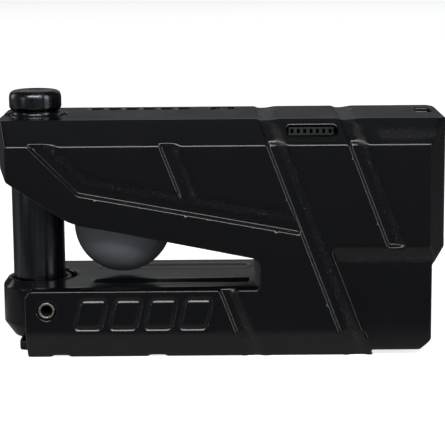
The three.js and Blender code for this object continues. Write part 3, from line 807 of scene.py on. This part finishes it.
def nose_spring():
    """The spring over the nose, whose upper end is fixed. It is made at one length."""
    low, high = box_mm("nose_spring")
    outer = (high[1] - low[1]) / 2
    points, faces = coil(low[2], high[2], outer - SPRING_WIRE, SPRING_WIRE, SPRING_TURNS)
    points = points + (NOSE_X, 0, 0)
    piece = add_piece("coil_spring", points, faces, "plain_steel", "housing", "nose_spring")
    clean(piece)
    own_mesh(piece)


# ---- the key cylinder and the light ----
SHELL_BORE = 5.05
SHELL_RIM = 0.5
SHELL_LEAD = 0.7
LENS_RIM = 0.5
LENS_CROWN = 0.12


def key_cylinder():
    """The sleeve round the key plug."""
    x, z = (SHELL_LOW[0] + SHELL_HIGH[0]) / 2, (SHELL_LOW[2] + SHELL_HIGH[2]) / 2
    outer = (SHELL_HIGH[0] - SHELL_LOW[0]) / 2
    low, high = SHELL_LOW[1], SHELL_HIGH[1]
    profile = [
        (SHELL_BORE, low), (outer, low), (outer, high - SHELL_RIM), (outer - SHELL_RIM, high),
        (SHELL_BORE + SHELL_LEAD, high), (SHELL_BORE, high - SHELL_RIM),
    ]
    place, node = (x, 0, z), "key_cylinder_shell"
    turned_piece("cylinder_shell", profile, place, "plain_steel", "housing", node, 0.1, "y", True)


def status_lens():
    """The smoked light window in the top."""
    x, y = (LENS_LOW[0] + LENS_HIGH[0]) / 2, (LENS_LOW[1] + LENS_HIGH[1]) / 2
    radius, low, high = (LENS_HIGH[0] - LENS_LOW[0]) / 2, LENS_LOW[2], LENS_HIGH[2]
    profile = [
        (0, low), (radius, low), (radius, high - LENS_RIM),
        (radius - LENS_RIM, high - LENS_CROWN), (0, high),
    ]
    turned_piece("light_window", profile, (x, y, 0), "smoked_lens", "housing", "status_lens", 0.3)


# ---- CAD nodes that keep their own meshes ----
KEPT_NODES = {
    "locking_bar": "plain_steel",
    "bar_spring": "plain_steel",
    "bar_channel_plug": "plain_steel",
    "key_plug": "brass",
    "cylinder_grub_screw": "plain_steel",
    "nose_core": "black_plastic",
    "nose_guide_pin": "plain_steel",
    "siren_case": "black_plastic",
    "siren_disc": "brass",
    "battery": "battery_wrap",
    "battery_cradle": "black_plastic",
    "battery_contact_inner": "brass",
    "battery_contact_outer": "brass",
    "circuit_board": "circuit_board",
    "status_led": "brass",
    "control_chip": "black_plastic",
    "motion_sensor": "black_plastic",
    "sound_grille_front": "black_plastic",
    "sound_grille_rear": "black_plastic",
    "end_cover": "black_plastic",
    "end_cover_screw_1": "plain_steel",
    "end_cover_screw_2": "plain_steel",
}
NO_BEVEL = ("bar_spring",)  # round wire has no edge to soften
KEPT_BEVEL = 0.15


def dress_kept_nodes():
    """Gives the CAD's own meshes their materials and small bevels."""
    for name, slot in KEPT_NODES.items():
        piece = NODES[name]
        piece.data.materials.clear()
        piece.data.materials.append(MATERIALS[slot])
        if name not in NO_BEVEL:
            soften_edges(piece, KEPT_BEVEL)


# ---- the studio ----
FLOOR_SIZE = 6.0  # metres to each side
NEAR_FLOOR, FAR_FLOOR = 30, 50  # in the lock's reflections, the floor darkens from the one to the other
LIGHT_AIM = Vector((0, 0, 0.035))  # metres


def make_floor():
    """Near white to the camera and for soft light. The lock's reflections see it dark, except close by."""
    mesh = bpy.data.meshes.new("floor")
    corners = [(FLOOR_SIZE * x, FLOOR_SIZE * y, 0) for x, y in ((-1, -1), (1, -1), (1, 1), (-1, 1))]
    mesh.from_pydata(corners, [], [(0, 1, 2, 3)])
    floor = link("floor", mesh)
    material, nodes, links, shader = new_material("studio_floor")
    shader.inputs["Base Color"].default_value = (0.9, 0.9, 0.9, 1)
    shader.inputs["Roughness"].default_value = 0.9
    dark = nodes.new("ShaderNodeBsdfDiffuse")
    dark.inputs["Color"].default_value = (0.16, 0.16, 0.165, 1)
    bright = nodes.new("ShaderNodeEmission")
    bright.inputs["Strength"].default_value = 0.8
    add = nodes.new("ShaderNodeAddShader")
    links.new(shader.outputs[0], add.inputs[0])
    links.new(bright.outputs[0], add.inputs[1])
    path = nodes.new("ShaderNodeLightPath")
    place = nodes.new("ShaderNodeSeparateXYZ")
    links.new(object_place(nodes, links), place.inputs[0])
    aside = maths(nodes, links, "ABSOLUTE", place.outputs["Y"])
    away = remap(nodes, links, aside, low=NEAR_FLOOR * MM, high=FAR_FLOOR * MM, to_low=0.45)
    in_gloss = maths(nodes, links, "MULTIPLY", path.outputs["Is Glossy Ray"], away)
    bounce = nodes.new("ShaderNodeMixShader")
    links.new(in_gloss, bounce.inputs["Fac"])
    links.new(shader.outputs[0], bounce.inputs[1])
    links.new(dark.outputs[0], bounce.inputs[2])
    mix = nodes.new("ShaderNodeMixShader")
    links.new(path.outputs["Is Camera Ray"], mix.inputs["Fac"])
    links.new(bounce.outputs[0], mix.inputs[1])
    links.new(add.outputs[0], mix.inputs[2])
    links.new(mix.outputs[0], nodes["Material Output"].inputs["Surface"])
    mesh.materials.append(material)


def make_world():
    """White to the camera, and dim grey to every other ray: a soft fill."""
    world = bpy.data.worlds.new("studio")
    world.use_nodes = True
    bpy.context.scene.world = world
    nodes, links = world.node_tree.nodes, world.node_tree.links
    seen = nodes["Background"]
    seen.inputs["Strength"].default_value = 1.0
    seen.inputs["Color"].default_value = (1, 1, 1, 1)
    other = nodes.new("ShaderNodeBackground")
    other.inputs["Color"].default_value = (0.065, 0.068, 0.072, 1)
    path = nodes.new("ShaderNodeLightPath")
    mix = nodes.new("ShaderNodeMixShader")
    links.new(path.outputs["Is Camera Ray"], mix.inputs["Fac"])
    links.new(other.outputs[0], mix.inputs[1])
    links.new(seen.outputs[0], mix.inputs[2])
    links.new(mix.outputs[0], nodes["World Output"].inputs["Surface"])


def softbox(name, azimuth, elevation, distance, width, height, radiance):
    """A flat panel light that faces the lock, in metres. Azimuth 0 is in front, and 90 at its right."""
    light = bpy.data.lights.new(name, "AREA")
    light.shape = "RECTANGLE"
    light.size = width
    light.size_y = height
    light.energy = radiance * math.pi * width * height
    lamp = link(name, light)
    azimuth, elevation = math.radians(azimuth), math.radians(elevation)
    towards = Vector((
        math.sin(azimuth) * math.cos(elevation),
        -math.cos(azimuth) * math.cos(elevation),
        math.sin(elevation),
    ))
    lamp.location = LIGHT_AIM + towards * distance
    lamp.rotation_euler = towards.to_track_quat("Z", "Y").to_euler()
    lamp.visible_camera = False


def make_lights():
    softbox("front_strip", azimuth=0, elevation=34, distance=1.3, width=1.2, height=0.26, radiance=14)
    softbox("right_strip", azimuth=58, elevation=12, distance=1.3, width=0.3, height=0.9, radiance=5)
    softbox("left_strip", azimuth=-112, elevation=8, distance=1.3, width=0.34, height=0.9, radiance=2.5)
    softbox("left_front_fill", azimuth=-50, elevation=4, distance=1.3, width=0.3, height=0.5, radiance=2)
    softbox("overhead", azimuth=0, elevation=84, distance=1.4, width=1.2, height=1.0, radiance=0.15)
    softbox("back_fill", azimuth=180, elevation=22, distance=1.6, width=1.6, height=0.5, radiance=0.35)


# ---- everything ----
bpy.context.scene.view_settings.view_transform = "Standard"
make_camera()
cast_body()
lock_bolt()
bolt_socket()
bolt_guides()
socket_pins()
disc_nose()
nose_spring()
key_cylinder()
status_lens()
dress_kept_nodes()
make_floor()
make_world()
make_lights()
